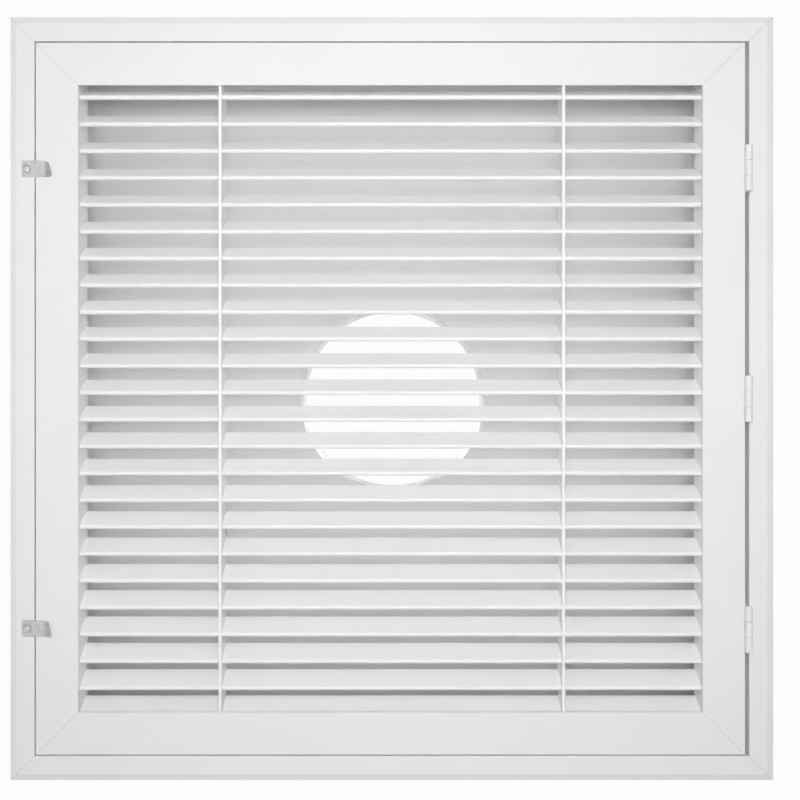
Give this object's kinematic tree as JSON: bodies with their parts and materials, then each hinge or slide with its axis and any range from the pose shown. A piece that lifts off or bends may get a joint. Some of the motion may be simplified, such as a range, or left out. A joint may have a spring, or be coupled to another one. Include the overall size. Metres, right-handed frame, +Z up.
{
  "type": "louvered return grille",
  "caption": "Square white wall grille: fixed slanted slats in a hinged door with turn latches, a filter space behind it and a round duct collar at the back.",
  "frame": {"origin": "centre of the duct collar's open mouth at the back", "axes": "+Y runs from the room through the grille into the duct, +Z is up, +X is to the right seen from the room"},
  "size_m": [0.5716, 0.1214, 0.5716],
  "materials": {
    "white_paint": "satin powder coat",
    "zinc": "dull zinc plate",
    "galvanised": "galvanised sheet"
  },
  "bodies": {
    "frame": {"frame_rail_top": "white_paint", "frame_rail_bottom": "white_paint", "frame_rail_left": "white_paint", "frame_rail_right": "white_paint", "frame_corner_keys": "zinc", "back_box": "white_paint", "duct_collar": "galvanised", "hinge_leaves_frame": "white_paint", "hinge_pins": "zinc", "latch_rivets": "zinc"},
    "door": {"door_rail_top": "white_paint", "door_rail_bottom": "white_paint", "door_rail_left": "white_paint", "door_rail_right": "white_paint", "door_corner_keys": "zinc", "core_channel_left": "white_paint", "core_channel_right": "white_paint", "mullion_left": "white_paint", "mullion_right": "white_paint", "slat_01": "white_paint", "slat_02": "white_paint", "slat_03": "white_paint", "slat_04": "white_paint", "slat_05": "white_paint", "slat_06": "white_paint", "slat_07": "white_paint", "slat_08": "white_paint", "slat_09": "white_paint", "slat_10": "white_paint", "slat_11": "white_paint", "slat_12": "white_paint", "slat_13": "white_paint", "slat_14": "white_paint", "slat_15": "white_paint", "slat_16": "white_paint", "slat_17": "white_paint", "slat_18": "white_paint", "slat_19": "white_paint", "slat_20": "white_paint", "slat_21": "white_paint", "slat_22": "white_paint", "slat_23": "white_paint", "slat_24": "white_paint", "hinge_leaves_door": "white_paint"},
    "latch_upper": {"latch_tab_upper": "zinc"},
    "latch_lower": {"latch_tab_lower": "zinc"}
  },
  "joints": [
    {"name": "door_swing", "type": "hinge", "parent": "frame", "child": "door", "pos_m": [0.26575, -0.11865, 0], "axis": [0, 0, 1], "range_deg": [0, 110]},
    {"name": "latch_upper_turn", "type": "hinge", "parent": "frame", "child": "latch_upper", "pos_m": [-0.2729, -0.1158, 0.1718], "axis": [0, 1, 0], "range_deg": [-90, 90]},
    {"name": "latch_lower_turn", "type": "hinge", "parent": "frame", "child": "latch_lower", "pos_m": [-0.2729, -0.1158, -0.1718], "axis": [0, 1, 0], "range_deg": [-90, 90]}
  ]
}
